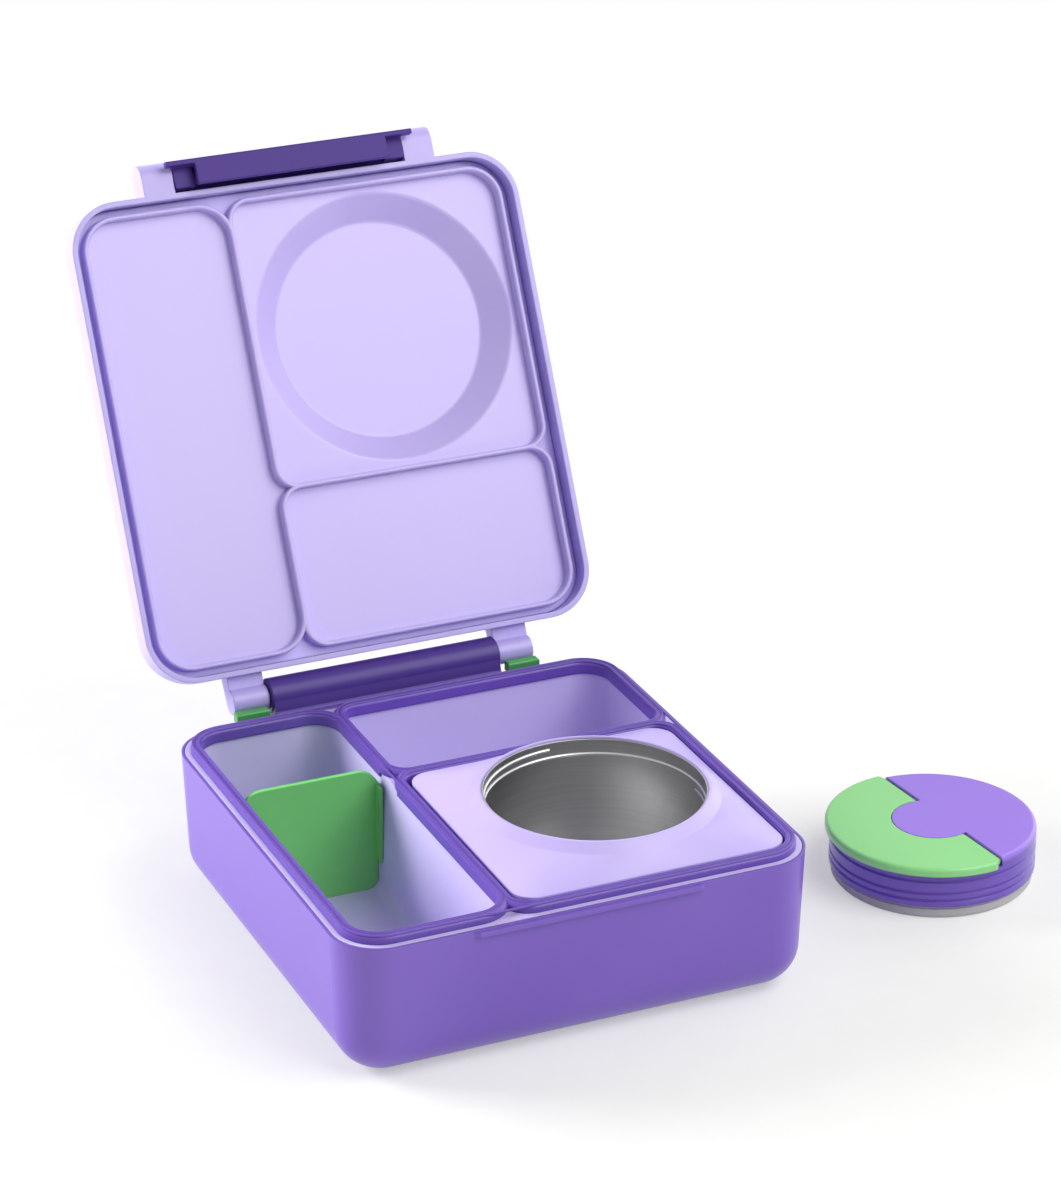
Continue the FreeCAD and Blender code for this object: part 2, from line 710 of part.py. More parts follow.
def make_jar_inner_wall():
    r = JAR_MOUTH_R - 0.1
    bowl = spun([
        (0, JAR_BOWL_Z),
        (r - JAR_BOWL_SLOPE, JAR_BOWL_Z),
        (r, JAR_BOWL_Z + JAR_BOWL_SLOPE),
        (r, JAR_RIM),
        (0, JAR_RIM),
    ], 0, 0, 0)
    z = JAR_BOWL_Z + JAR_T
    hollow = spun([(0, z), (r - JAR_T, z), (r - JAR_T, JAR_RIM + 1), (0, JAR_RIM + 1)], 0, 0, 0)
    hollow = round_level(hollow, z, JAR_BOWL_R)
    body = bowl.cut(hollow)
    body.translate(V(JAR_X, JAR_Y, JAR_Z))
    return body


def square_to_round(half, corner, z0, radius, z1):
    """Loft whose square foot turns into a circle at the top."""
    r = (corner, corner, corner, corner)
    low = outline(region(-half, half, -half, half, r), z0)
    edges = []
    spread = math.atan2(half - corner, half)
    for i in range(4):
        mid = -math.pi / 4 + i * math.pi / 2
        a0 = mid - (math.pi / 4 - spread)
        a1 = mid + (math.pi / 4 - spread)
        a2 = mid + math.pi / 2 - (math.pi / 4 - spread)
        for b0, b1 in ((a0, a1), (a1, a2)):
            bm = (b0 + b1) / 2
            pts = [V(radius * math.cos(a), radius * math.sin(a), z1) for a in (b0, bm, b1)]
            edges.append(Part.Arc(pts[0], pts[1], pts[2]).toShape())
    return Part.makeLoft([low, Part.Wire(edges)], True, True)


def make_jar_collar():
    half = COLLAR_HALF
    t = COLLAR_T
    corner = (COLLAR_R,) * 4
    area = region(-half, half, -half, half, corner)
    low = COLLAR_EDGE - COLLAR_SKIRT
    block = prism(area, low, COLLAR_EDGE)
    dome = square_to_round(half, COLLAR_R, COLLAR_EDGE, COLLAR_MID_R, COLLAR_MID)
    neck = spun([
        (0, COLLAR_MID),
        (COLLAR_MID_R, COLLAR_MID),
        (JAR_MOUTH_R + 1.9, COLLAR_TOP - 0.8),
        (JAR_MOUTH_R + 1.0, COLLAR_TOP),
        (0, COLLAR_TOP),
    ], 0, 0, 0)
    body = fuse_all([block, dome, neck])
    thin = half - COLLAR_SKIRT_T
    inner_area = region(-thin, thin, -thin, thin, (COLLAR_R - COLLAR_SKIRT_T,) * 4)
    inside = prism(inner_area, low - 1, COLLAR_EDGE - t)
    attic = Part.makeCone(thin - 1.0, COLLAR_MID_R - 1.0, COLLAR_MID - COLLAR_EDGE)
    attic.translate(V(0, 0, COLLAR_EDGE - t))
    tube = rod_z(0, 0, JAR_SHOULDER, COLLAR_MID, JAR_MOUTH_R + COLLAR_T)
    inside = inside.fuse(attic).removeSplitter().cut(tube)
    body = body.cut(inside)
    body = body.cut(rod_z(0, 0, low - 1, COLLAR_TOP + 1, JAR_MOUTH_R))
    body.translate(V(JAR_X, JAR_Y, JAR_Z))
    return body


# ---------------------------------------------------------------- cap parts
def cap_frame(shape):
    """Turn about the cap's axis and set down beside the box."""
    placed = shape.copy()
    placed.rotate(V(0, 0, 0), V(0, 0, 1), HANDLE_TURN)
    placed.translate(V(CAP_X, CAP_Y, 0))
    return placed


def make_cap_body():
    g = CAP_GASKET_H
    r = CAP_BODY_R
    body = spun([(0, g), (r, g), (r, CAP_H), (0, CAP_H)], 0, 0, 0)
    body = round_level(body, CAP_H, CAP_EDGE)
    for rise in CAP_GROOVES:
        body = body.cut(groove_round(r, g + rise, CAP_GROOVE_W, CAP_GROOVE_T))
    floor = CAP_H - CAP_RECESS
    inside = spun([(0, g - 1), (r - CAP_WALL, g - 1), (r - CAP_WALL, floor - 2.0), (0, floor - 2.0)], 0, 0, 0)
    body = body.cut(inside)
    bay = box(-60, HANDLE_EDGE + HANDLE_FIT, -60, 60, floor, CAP_H + 5)
    bay = bay.cut(rod_z(0, 0, floor - 1, CAP_H + 6, HUB_R))
    body = body.cut(bay)
    for side in (-1, 1):
        start = V(HANDLE_AXIS, side * (HANDLE_PIN_X0 - 2.0), CAP_H - HANDLE_PIN_DOWN)
        bore = Part.makeCylinder(HANDLE_PIN_R + RUN_FIT / 2, 9.5, start, V(0, side, 0))
        body = body.cut(bore)
    return cap_frame(body)


def handle_end(side, r, z0, z1):
    """What is cut away outside the handle's rounded end."""
    x = HANDLE_AXIS - HANDLE_CORNER
    y = side * (math.sqrt(r * r - HANDLE_AXIS * HANDLE_AXIS) - HANDLE_CORNER)
    y0, y1 = sorted((y, side * (r + 5)))
    corner = box(x, HANDLE_AXIS + 5, y0, y1, z0, z1)
    return corner.cut(rod_z(x, y, z0, z1, HANDLE_CORNER))


def make_cap_handle():
    """C-shaped lift handle lying flush in the cap's top."""
    z1 = CAP_H
    z0 = CAP_H - HANDLE_T
    axis_z = CAP_H - HANDLE_PIN_DOWN
    r = CAP_BODY_R + HANDLE_OVER
    disc = spun([(0, z0), (r, z0), (r, z1), (0, z1)], 0, 0, 0)
    disc = round_level(disc, z1, HANDLE_ROUND)
    body = disc.common(box(-60, HANDLE_AXIS, -60, 60, z0 - 1, z1 + 1))
    for side in (-1, 1):
        run = r - HANDLE_CORNER - HUB_R
        start = V(HANDLE_AXIS, side * (HUB_R + 0.5), axis_z)
        body = body.fuse(Part.makeCylinder(HANDLE_KNUCKLE_R, run, start, V(0, side, 0)))
        body = body.cut(handle_end(side, r, z0 - 1, z1 + 1))
    body = body.removeSplitter()
    body = body.cut(rod_z(0, 0, z0 - 1, z1 + 1, HUB_R + HANDLE_FIT))
    for side in (-1, 1):
        start = V(HANDLE_AXIS, side * HANDLE_PIN_X0, axis_z)
        reach = HANDLE_PIN_LEN + PIN_SLACK
        body = body.cut(Part.makeCylinder(HANDLE_PIN_R + RUN_FIT, reach, start, V(0, side, 0)))
    return cap_frame(body)


def make_cap_handle_pin(side):
    start = V(HANDLE_AXIS, side * HANDLE_PIN_X0, CAP_H - HANDLE_PIN_DOWN)
    return cap_frame(Part.makeCylinder(HANDLE_PIN_R, HANDLE_PIN_LEN, start, V(0, side, 0)))


def make_cap_core():
    g = CAP_GASKET_H
    r = CAP_BODY_R - CAP_WALL - 0.1
    core = spun([
        (0, 0.8),
        (CAP_CORE_R - 1.5, 0.8),
        (CAP_CORE_R, 2.3),
        (CAP_CORE_R, g),
        (r, g),
        (r, g + 2.5),
        (0, g + 2.5),
    ], 0, 0, 0)
    return cap_frame(core)


def make_cap_gasket():
    r = CAP_BODY_R - CAP_GASKET_IN
    ring = spun([
        (CAP_CORE_R + 0.1, 1.2),
        (r - 2.4, 0.0),
        (r - 1.0, 0.0),
        (r, 1.2),
        (r, CAP_GASKET_H - 1.6),
        (r - 0.5, CAP_GASKET_H - 1.1),
        (r - 0.5, CAP_GASKET_H),
        (CAP_CORE_R + 0.1, CAP_GASKET_H),
    ], 0, 0, 0)
    return cap_frame(ring)


# ---------------------------------------------------------------- all nodes
def build_nodes():
    nodes = {
        "outer_shell": make_outer_shell(),
        "hinge_barrel": make_hinge_barrel(),
        "inner_liner": make_inner_liner(),
        "seal_gasket": make_seal_gasket(),
        "divider": make_divider(),
        "lid_cover": opened(make_lid_cover()),
        "lid_inner_panel": opened(make_lid_inner_panel()),
        "latch": opened(make_latch()),
        "jar_outer_wall": make_jar_outer_wall(),
        "jar_inner_wall": make_jar_inner_wall(),
        "jar_base": make_jar_base(),
        "jar_collar": make_jar_collar(),
        "cap_body": make_cap_body(),
        "cap_handle": make_cap_handle(),
        "cap_core": make_cap_core(),
        "cap_gasket": make_cap_gasket(),
        "cap_handle_pin_front": make_cap_handle_pin(-1),
        "cap_handle_pin_back": make_cap_handle_pin(1),
    }
    for side, word in ((-1, "left"), (1, "right")):
        nodes["hinge_pin_" + word] = make_hinge_pin(side)
        nodes["release_button_" + word] = make_release_button(side)
        nodes["release_spring_" + word] = make_release_spring(side)
        nodes["latch_pin_" + word] = opened(make_latch_pin(side))
    return nodes


def main():
    os.makedirs("parts", exist_ok=True)
    for name, shape in build_nodes().items():
        if len(shape.Solids) != 1:
            print("solids", name, len(shape.Solids), shape.isValid())
        solid = shape.Solids[0] if shape.Solids else shape
        b = solid.BoundBox
        print(name, "valid", solid.isValid(), "vol", round(solid.Volume, 1),
              [round(v, 1) for v in (b.XMin, b.XMax, b.YMin, b.YMax, b.ZMin, b.ZMax)])
        solid.exportStep("parts/" + name + ".step")


main()
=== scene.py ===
import bpy
import json
import math
from mathutils import Matrix, Vector


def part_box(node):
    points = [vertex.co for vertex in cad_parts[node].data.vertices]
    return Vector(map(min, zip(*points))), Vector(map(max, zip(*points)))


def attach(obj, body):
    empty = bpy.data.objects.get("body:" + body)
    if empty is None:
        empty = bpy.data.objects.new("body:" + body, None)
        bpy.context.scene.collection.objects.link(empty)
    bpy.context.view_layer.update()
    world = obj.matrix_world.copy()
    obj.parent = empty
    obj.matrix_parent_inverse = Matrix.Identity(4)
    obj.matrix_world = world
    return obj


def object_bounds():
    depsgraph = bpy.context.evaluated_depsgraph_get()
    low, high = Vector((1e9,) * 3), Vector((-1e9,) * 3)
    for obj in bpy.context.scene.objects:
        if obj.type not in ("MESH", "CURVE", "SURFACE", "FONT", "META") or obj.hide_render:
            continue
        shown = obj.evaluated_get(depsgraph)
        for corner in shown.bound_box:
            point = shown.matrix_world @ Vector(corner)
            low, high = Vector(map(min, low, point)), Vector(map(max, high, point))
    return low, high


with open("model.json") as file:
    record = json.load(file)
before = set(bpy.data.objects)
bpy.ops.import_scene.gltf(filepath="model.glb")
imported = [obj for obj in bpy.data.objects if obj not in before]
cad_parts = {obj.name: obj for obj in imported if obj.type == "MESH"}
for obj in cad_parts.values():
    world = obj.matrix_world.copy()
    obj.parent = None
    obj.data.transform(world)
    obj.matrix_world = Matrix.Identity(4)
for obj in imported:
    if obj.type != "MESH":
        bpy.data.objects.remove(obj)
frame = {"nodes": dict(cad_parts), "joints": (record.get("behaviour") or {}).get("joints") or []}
nodes = frame["nodes"]
cad_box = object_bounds()

# ------------------------------------------------------------ colours: fresh, worn
SHELL_PURPLE = ("7858C1", "8162C9")
BAR_PURPLE = ("4A3188", "523892")
LATCH_PURPLE = ("4B3289", "533993")
SEAL_PURPLE = ("6A4CB2", "7658BE")
LINER_LILAC = ("D2C6F4", "D9CFF7")
COVER_LILAC = ("BFB1F0", "C6B8F3")
PANEL_LILAC = ("CABBF6", "CEC0F8")
COLLAR_LILAC = ("C6B6F4", "CFC0F8")
CAP_PURPLE = ("9B76E4", "A07CE8")
CORE_LILAC = ("BFAEEC", "C9B9F0")
HANDLE_GREEN = ("8ADB86", "94E08F")
DIVIDER_GREEN = ("72D268", "7CD873")
BUTTON_GREEN = ("49A552", "55B05B")
GASKET_GREY = ("B9B8BD", "ADABB2")

# painted shade laid down the seal bead's channel
SEAL_CHANNEL_SHADE_PURPLE = "583C9C"
CAP_SIDE_PAINTED_SHADE = "BAB2D4"       # painted shade: multiplies the cap's colour down its side, darker than its top
STEEL = "CACACB"
PIN_STEEL = "A8A6A4"

# ------------------------------------------------------------ finishes
MOTTLE_SCALE = 18.0
NOISE_BAND = (0.3, 0.7)         # noise values that a blend spreads over
PLAIN_GRAIN = 2600.0
FINE_GRAIN = 3200.0
COARSE_GRAIN = 1500.0
SILICONE_GRAIN = 1900.0
GRAIN_DEPTH = 0.00002
HAIRLINE_TURN = (0.4, 0.7, 0.9)
HAIRLINE_STRETCH = (40.0, 900.0, 700.0)
HAIRLINE_BAND = (0.67, 0.73)
PATCH_SCALE = 48.0
PATCH_BAND = (0.5, 0.68)
WORN_SHARE = 0.45               # most that the mottle takes from the worn colour
SILICONE_WORN_SHARE = 0.4
MARK_TONE = 0.18
MARK_DULLING = 0.12
MOTTLE_GLOSSIER = 0.02          # mottle's reach either side of the roughness
MOTTLE_DULLER = 0.03
PLASTIC_IOR = 1.49
COAT_ROUGHNESS = 0.12
GLOW_REACH = 0.003
GLOW_SPREAD = (0.9, 0.8, 1.0)
EDGE_SAMPLES = 4

SEAL_ROUGHNESS = (0.3, 0.37)
SEAL_EDGE = 0.0012
SEAL_CHANNEL_DEPTH = 0.00035
SEAL_CHANNEL_BAND = (0.0001, 0.0007)
SEAL_GRAIN_SHARE = 0.06
GASKET_ROUGHNESS = (0.42, 0.55)
GASKET_EDGE = 0.0006
GASKET_GLOW = 0.15
GASKET_GLOW_REACH = 0.002

BRUSH_LAYERS = ((1.0, 0.9), (0.12, 0.35))   # share of the fineness, change round the axis
BRUSH_DEPTH = 0.0000008
STREAK_DARK = 0.93
STREAK_TONE_BAND = (0.35, 0.65)
STREAK_GLOSSIER = 0.03
STREAK_DULLER = 0.04
STEEL_EDGE = 0.0005
STEEL_ANISOTROPY = 0.6

# ------------------------------------------------------------ places and sizes (metres)
jar_low, jar_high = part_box("jar_inner_wall")
JAR_CENTRE = Vector(((jar_low.x + jar_high.x) / 2, (jar_low.y + jar_high.y) / 2, 0))
seal_low, seal_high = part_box("seal_gasket")
CAP_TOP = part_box("cap_body")[1].z
CAP_SIDE_FROM = 0.003           # below the cap's top; the painted shade on the side fades out between this and CAP_SIDE_TO
CAP_SIDE_TO = 0.0006
HINGE = Vector(next(joint["pos_m"] for joint in frame["joints"] if joint["name"] == "lid_hinge"))
BEAD_WIDTH = 0.0045
WELL_CORNER = 0.012
INNER_CORNER = 0.007
JAR_WELL_SIDE = 0.1176
CREST_INSET = 0.0009            # seal crest's line, in from the bead's edge
CREST_RADIUS = 0.0005
CREST_SINK = 0.00025            # crest's centre below the bead's flat top
CREST_SIDES = 12
THREAD_TURNS = 1.75
THREAD_PITCH = 0.0036
THREAD_RADIUS = 0.00075
THREAD_BELOW_MOUTH = 0.0032
THREAD_STEPS = 96
THREAD_SIDES = 10

# ------------------------------------------------------------ studio
FLOOR_HALF_SIDE = 6.0
FLOOR_BELOW = 0.0002
FLOOR_TONES = ((0.88, 0.885, 0.85, 1), (0.9, 0.905, 0.87, 1))
PAPER_SCALE = 60.0
FADE_CENTRE = (0.05, 0.03, 0.0)
FADE_BAND = (0.15, 0.62)        # distance over which the floor turns plain white
FADE_SHARES = (0.42, 1.0)
SKY_LIGHT = 0.25
SKY_IN_MIRRORS = 0.75
LAMP_AIM = (0.0, 0.0, 0.08)

CAMERA_TURN = math.radians(-23.782)
CAMERA_RISE = math.radians(24.481)
CAMERA_ROLL = math.radians(-0.09)
CAMERA_AIM = Vector((0, 0, 0.05))
CAMERA_RIGHT_SHIFT = -0.01755
CAMERA_DOWN_SHIFT = 0.08655
CAMERA_DISTANCE = 1.69192
CAMERA_SENSOR = 36.0            # millimetres
CAMERA_LENS = 127.041


# ------------------------------------------------------------ node helpers
def colour(code):
    """Linear RGBA from a six-figure colour code."""
    parts = [int(code[i:i + 2], 16) / 255 for i in (0, 2, 4)]
    linear = [c / 12.92 if c < 0.04045 else ((c + 0.055) / 1.055) ** 2.4 for c in parts]
    return (*linear, 1.0)


def new_group(name, inputs, outputs):
    """An empty shader group with its input and output nodes."""
    group = bpy.data.node_groups.new(name, "ShaderNodeTree")
    for label, kind, start in inputs:
        socket = group.interface.new_socket(label, in_out="INPUT", socket_type=kind)
        if start is not None:
            socket.default_value = start
    for label in outputs:
        group.interface.new_socket(label, in_out="OUTPUT", socket_type="NodeSocketFloat")
    return group, group.nodes.new("NodeGroupInput"), group.nodes.new("NodeGroupOutput")


def join_or_set(tree, socket, value):
    """Link a socket to another one, or give it a plain value."""
    if isinstance(value, bpy.types.NodeSocket):
        tree.links.new(value, socket)
    else:
        socket.default_value = value


def add(tree, kind, links=None, **settings):
    """One node with its settings, and its sockets joined or set."""
    made = tree.nodes.new(kind)
    for key, value in settings.items():
        setattr(made, key, value)
    for key, value in (links or {}).items():
        join_or_set(tree, made.inputs[key], value)
    return made


def maths(tree, operation, a, b=0.0):
    return add(tree, "ShaderNodeMath", {0: a, 1: b}, operation=operation).outputs[0]


def vectors(tree, operation, a, b=(0, 0, 0)):
    made = add(tree, "ShaderNodeVectorMath", {0: a, 1: b}, operation=operation)
    return made.outputs["Value" if operation == "LENGTH" else "Vector"]


def ramp(tree, value, low, high, to_low=0.0, to_high=1.0):
    """Smooth step from one range to another."""
    made = add(tree, "ShaderNodeMapRange",
               {"Value": value, "From Min": low, "From Max": high, "To Min": to_low, "To Max": to_high},
               interpolation_type="SMOOTHSTEP")
    return made.outputs["Result"]


def blend(tree, share, first, second, mode="MIX"):
    """Colour mix; the colour sockets of this node are reached by number."""
    made = add(tree, "ShaderNodeMix", {"Factor": share}, data_type="RGBA", blend_type=mode)
    join_or_set(tree, made.inputs[6], first)
    join_or_set(tree, made.inputs[7], second)
    return made.outputs[2]


# ------------------------------------------------------------ shared surface groups
def make_moulding_group():
    """Moulded plastic: fine spark grain, slow flow mottle and hairline handling marks."""
    tree, given, out = new_group("moulded_surface", [
        ("Point", "NodeSocketVector", None),
        ("Grain Size", "NodeSocketFloat", PLAIN_GRAIN),
        ("Mark Amount", "NodeSocketFloat", 0.5),
    ], ["Grain", "Mottle", "Marks"])
    point = given.outputs["Point"]
    grain = add(tree, "ShaderNodeTexNoise",
                {"Vector": point, "Scale": given.outputs["Grain Size"], "Detail": 2.0, "Roughness": 0.55})
    flow = add(tree, "ShaderNodeTexNoise", {"Vector": point, "Scale": MOTTLE_SCALE, "Detail": 1.5})
    stretched = add(tree, "ShaderNodeMapping",
                    {"Vector": point, "Rotation": HAIRLINE_TURN, "Scale": HAIRLINE_STRETCH})
    hair = add(tree, "ShaderNodeTexNoise",
               {"Vector": stretched.outputs[0], "Scale": 1.0, "Detail": 1.0, "Distortion": 0.25})
    patch = add(tree, "ShaderNodeTexNoise", {"Vector": point, "Scale": PATCH_SCALE, "Detail": 2.0})
    thin = ramp(tree, hair.outputs["Fac"], *HAIRLINE_BAND)
    where = ramp(tree, patch.outputs["Fac"], *PATCH_BAND)
    marks = maths(tree, "MULTIPLY", thin, where)
    tree.links.new(grain.outputs["Fac"], out.inputs["Grain"])
    tree.links.new(flow.outputs["Fac"], out.inputs["Mottle"])
    tree.links.new(maths(tree, "MULTIPLY", marks, given.outputs["Mark Amount"]), out.inputs["Marks"])
    return tree


def make_loop_group():
    """Signed distance in plan to a rounded oblong; one corner on the right may be larger."""
    tree, given, out = new_group("oblong_distance", [
        ("Point", "NodeSocketVector", None),
        ("Centre", "NodeSocketVector", None),
        ("Half Size", "NodeSocketVector", None),
        ("Corner", "NodeSocketFloat", INNER_CORNER),
        ("Large Corner", "NodeSocketFloat", WELL_CORNER),
        ("Large Side", "NodeSocketFloat", 1.0),
    ], ["Distance"])
    local = vectors(tree, "SUBTRACT", given.outputs["Point"], given.outputs["Centre"])
    split = add(tree, "ShaderNodeSeparateXYZ", {0: local})
    right = maths(tree, "GREATER_THAN", split.outputs["X"], 0.0)
    side = maths(tree, "MULTIPLY", split.outputs["Y"], given.outputs["Large Side"])
    chosen = maths(tree, "MULTIPLY", right, maths(tree, "GREATER_THAN", side, 0.0))
    extra = maths(tree, "SUBTRACT", given.outputs["Large Corner"], given.outputs["Corner"])
    corner = maths(tree, "ADD", given.outputs["Corner"], maths(tree, "MULTIPLY", extra, chosen))
    half = add(tree, "ShaderNodeSeparateXYZ", {0: given.outputs["Half Size"]})
    over = []
    for axis in ("X", "Y"):
        inner = maths(tree, "SUBTRACT", half.outputs[axis], corner)
        over.append(maths(tree, "SUBTRACT", maths(tree, "ABSOLUTE", split.outputs[axis]), inner))
    past = [maths(tree, "MAXIMUM", value, 0.0) for value in over]
    squares = [maths(tree, "POWER", value, 2.0) for value in past]
    round_part = maths(tree, "SQRT", maths(tree, "ADD", squares[0], squares[1]))
    flat_part = maths(tree, "MINIMUM", maths(tree, "MAXIMUM", over[0], over[1]), 0.0)
    total = maths(tree, "SUBTRACT", maths(tree, "ADD", round_part, flat_part), corner)
    tree.links.new(total, out.inputs["Distance"])
    return tree


def make_brushing_group():
    """Lines turned round an upright axis, on the wall as on the flat."""
    tree, given, out = new_group("turned_brushing", [
        ("Point", "NodeSocketVector", None),
        ("Centre", "NodeSocketVector", None),
        ("Fineness", "NodeSocketFloat", None),
    ], ["Lines", "Streaks"])
    local = vectors(tree, "SUBTRACT", given.outputs["Point"], given.outputs["Centre"])
    flat = vectors(tree, "MULTIPLY", local, (1, 1, 0))
    radius = vectors(tree, "LENGTH", flat)
    facing = vectors(tree, "NORMALIZE", flat)
    split = add(tree, "ShaderNodeSeparateXYZ", {0: local})
    turn = add(tree, "ShaderNodeSeparateXYZ", {0: facing})
    across = maths(tree, "ADD", radius, split.outputs["Z"])
    for (fine, around), result in zip(BRUSH_LAYERS, ("Lines", "Streaks")):
        step = maths(tree, "MULTIPLY", across, maths(tree, "MULTIPLY", given.outputs["Fineness"], fine))
        spot = add(tree, "ShaderNodeCombineXYZ",
                   {"X": step, "Y": maths(tree, "MULTIPLY", turn.outputs["X"], around),
                    "Z": maths(tree, "MULTIPLY", turn.outputs["Y"], around)})
        noise = add(tree, "ShaderNodeTexNoise", {"Vector": spot.outputs[0], "Scale": 1.0, "Detail": 2.0})
        tree.links.new(noise.outputs["Fac"], out.inputs[result])
    return tree


MOULDED = make_moulding_group()
OBLONG = make_loop_group()
BRUSHED = make_brushing_group()


# ------------------------------------------------------------ material helpers
def new_material(name):
    """An empty material: itself, its tree, its surface shader and its point in space."""
    made = bpy.data.materials.new(name)
    made.use_nodes = True
    tree = made.node_tree
    tree.nodes.clear()
    surface = tree.nodes.new("ShaderNodeBsdfPrincipled")
    out = tree.nodes.new("ShaderNodeOutputMaterial")
    tree.links.new(surface.outputs[0], out.inputs["Surface"])
    point = tree.nodes.new("ShaderNodeTexCoord").outputs["Object"]
    return made, tree, surface, point


def soft_edges(tree, height, depth, radius):
    """Bump over rounded edges, joined to the surface's normal by the caller."""
    rounded = add(tree, "ShaderNodeBevel", {"Radius": radius}, samples=EDGE_SAMPLES)
    bump = add(tree, "ShaderNodeBump",
               {"Height": height, "Distance": depth, "Strength": 1.0, "Normal": rounded.outputs[0]})
    return bump.outputs[0]


def make_plastic(name, tones, roughness, edge, grain=PLAIN_GRAIN, marks=0.5, coat=0.0, shine=0.5, glow=0.0):
    """Satin moulded plastic: grain in the bump, mottle in the colour, marks in the gloss."""
    fresh, worn = [colour(code) for code in tones]
    made, tree, surface, point = new_material(name)
    moulded = add(tree, "ShaderNodeGroup", node_tree=MOULDED)
    tree.links.new(point, moulded.inputs["Point"])
    moulded.inputs["Grain Size"].default_value = grain
    moulded.inputs["Mark Amount"].default_value = marks
    mottle, scratches = moulded.outputs["Mottle"], moulded.outputs["Marks"]
    tone = blend(tree, ramp(tree, mottle, *NOISE_BAND, 0.0, WORN_SHARE), fresh, worn)
    tone = blend(tree, maths(tree, "MULTIPLY", scratches, MARK_TONE), tone, worn)
    tree.links.new(tone, surface.inputs["Base Color"])
    gloss = ramp(tree, mottle, *NOISE_BAND, roughness - MOTTLE_GLOSSIER, roughness + MOTTLE_DULLER)
    gloss = maths(tree, "ADD", gloss, maths(tree, "MULTIPLY", scratches, MARK_DULLING))
    tree.links.new(gloss, surface.inputs["Roughness"])
    tree.links.new(soft_edges(tree, moulded.outputs["Grain"], GRAIN_DEPTH, edge), surface.inputs["Normal"])
    surface.inputs["IOR"].default_value = PLASTIC_IOR
    surface.inputs["Specular IOR Level"].default_value = shine
    if glow:
        surface.inputs["Subsurface Weight"].default_value = glow
        surface.inputs["Subsurface Scale"].default_value = GLOW_REACH
        surface.inputs["Subsurface Radius"].default_value = GLOW_SPREAD
    if coat:
        surface.inputs["Coat Weight"].default_value = coat
        surface.inputs["Coat Roughness"].default_value = COAT_ROUGHNESS
    return made


def make_steel(name, code, roughness, centre, fineness):
    """Steel brushed round its own axis."""
    made, tree, surface, point = new_material(name)
    brushed = add(tree, "ShaderNodeGroup", node_tree=BRUSHED)
    tree.links.new(point, brushed.inputs["Point"])
    brushed.inputs["Centre"].default_value = centre
    brushed.inputs["Fineness"].default_value = fineness
    streaks = brushed.outputs["Streaks"]
    base = colour(code)
    dark = (*(part * STREAK_DARK for part in base[:3]), 1.0)
    tone = blend(tree, ramp(tree, streaks, *STREAK_TONE_BAND), dark, base)
    tree.links.new(tone, surface.inputs["Base Color"])
    gloss = ramp(tree, streaks, *NOISE_BAND, roughness - STREAK_GLOSSIER, roughness + STREAK_DULLER)
    tree.links.new(gloss, surface.inputs["Roughness"])
    surface.inputs["Metallic"].default_value = 1.0
    normal = soft_edges(tree, brushed.outputs["Lines"], BRUSH_DEPTH, STEEL_EDGE)
    tree.links.new(normal, surface.inputs["Normal"])
    surface.inputs["Anisotropic"].default_value = STEEL_ANISOTROPY
    return made


# ------------------------------------------------------------ materials of the base
def make_shell_plastic():
    return make_plastic("shell_plastic", SHELL_PURPLE, 0.34, 0.0006, coat=0.15)


def make_bar_plastic():
    return make_plastic("bar_plastic", BAR_PURPLE, 0.32, 0.0006, shine=0.3)


def make_liner_plastic():
    return make_plastic("liner_plastic", LINER_LILAC, 0.33, 0.0006, grain=FINE_GRAIN, glow=0.2)


def make_divider_plastic():
    return make_plastic("divider_plastic", DIVIDER_GREEN, 0.38, 0.0004, grain=COARSE_GRAIN)


def make_button_plastic():
    return make_plastic("button_plastic", BUTTON_GREEN, 0.33, 0.0006)


def bead_lines(tree, point):
    """Height of the shallow channel that runs along the middle of the seal's bead, also the mask of the
    painted shade in it.
    """
    loops = well_loops()
    nearest = None
    for name, corner, large_side in (("long", WELL_CORNER, 1.0), ("jar", INNER_CORNER, -1.0),
                                     ("small", INNER_CORNER, 1.0)):
        left, right, front, back, _ = loops[name]
        loop = add(tree, "ShaderNodeGroup", node_tree=OBLONG)
        tree.links.new(point, loop.inputs["Point"])
        loop.inputs["Centre"].default_value = ((left + right) / 2, (front + back) / 2, 0)
        loop.inputs["Half Size"].default_value = ((right - left) / 2, (back - front) / 2, 0)
        loop.inputs["Corner"].default_value = corner
        loop.inputs["Large Side"].default_value = large_side
        off = maths(tree, "ABSOLUTE", maths(tree, "SUBTRACT", loop.outputs["Distance"], BEAD_WIDTH / 2))
        nearest = off if nearest is None else maths(tree, "MINIMUM", nearest, off)
    return ramp(tree, nearest, *SEAL_CHANNEL_BAND)


def make_seal_silicone():
    """Soft-touch purple silicone, with painted shade down in the bead's channel."""
    fresh, worn = [colour(code) for code in SEAL_PURPLE]
    made, tree, surface, point = new_material("seal_silicone")
    moulded = add(tree, "ShaderNodeGroup", node_tree=MOULDED)
    tree.links.new(point, moulded.inputs["Point"])
    moulded.inputs["Grain Size"].default_value = SILICONE_GRAIN
    mottle = moulded.outputs["Mottle"]
    flat = bead_lines(tree, point)
    tone = blend(tree, ramp(tree, mottle, *NOISE_BAND, 0.0, SILICONE_WORN_SHARE), fresh, worn)
    # painted shade: the colour darkens down the bead's channel, where flat falls to nothing
    tone = blend(tree, maths(tree, "SUBTRACT", 1.0, flat), tone, colour(SEAL_CHANNEL_SHADE_PURPLE))
    tree.links.new(tone, surface.inputs["Base Color"])
    tree.links.new(ramp(tree, mottle, *NOISE_BAND, *SEAL_ROUGHNESS), surface.inputs["Roughness"])
    height = maths(tree, "ADD", flat, maths(tree, "MULTIPLY", moulded.outputs["Grain"], SEAL_GRAIN_SHARE))
    tree.links.new(soft_edges(tree, height, SEAL_CHANNEL_DEPTH, SEAL_EDGE), surface.inputs["Normal"])
    return made


